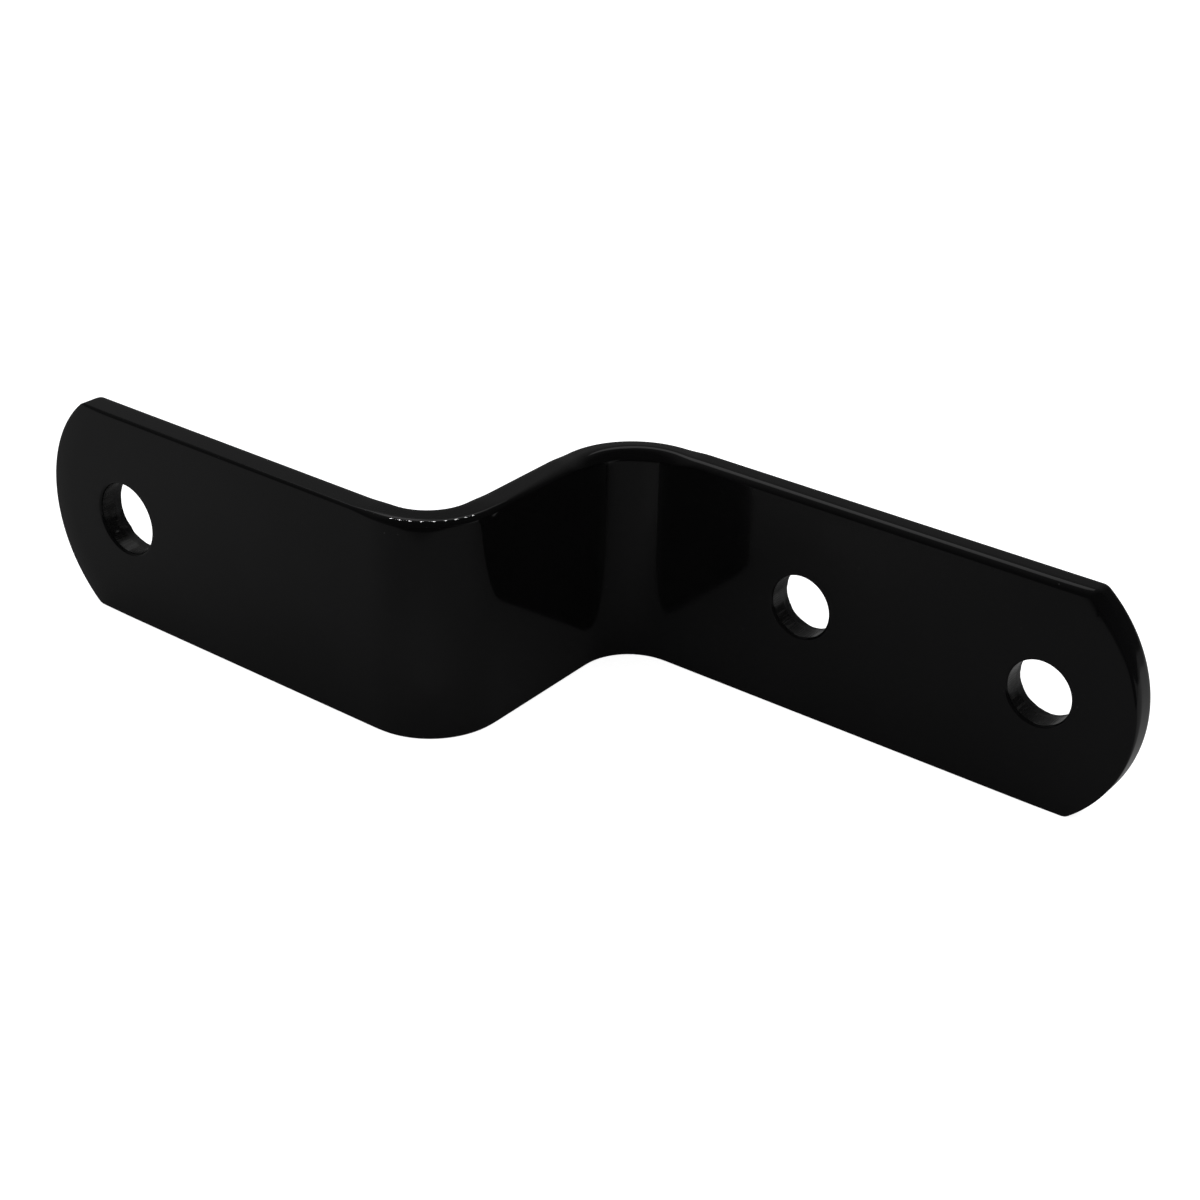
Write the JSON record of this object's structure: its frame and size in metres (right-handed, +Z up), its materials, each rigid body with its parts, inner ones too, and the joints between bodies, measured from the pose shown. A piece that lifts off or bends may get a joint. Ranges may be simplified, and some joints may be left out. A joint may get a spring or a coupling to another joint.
{
  "type": "hitch bracket",
  "caption": "Flat steel bar bent twice into a Z, with rounded ends, a hitch pin's hole in one arm and bolt holes in the other.",
  "frame": {"origin": "on the surface that the bracket stands on, under the middle of its box in plan", "axes": "+X along the arms from the pin arm's tip to the bolt arm's, +Y square to the arms from the pin arm to the bolt arm, +Z up across the bar's width"},
  "size_m": [0.1824, 0.052, 0.0381],
  "materials": {
    "black_paint": "gloss black paint, with thinner paint over the punched walls of the holes"
  },
  "bodies": {
    "root": {"hitch_strap": "black_paint"}
  },
  "joints": []
}
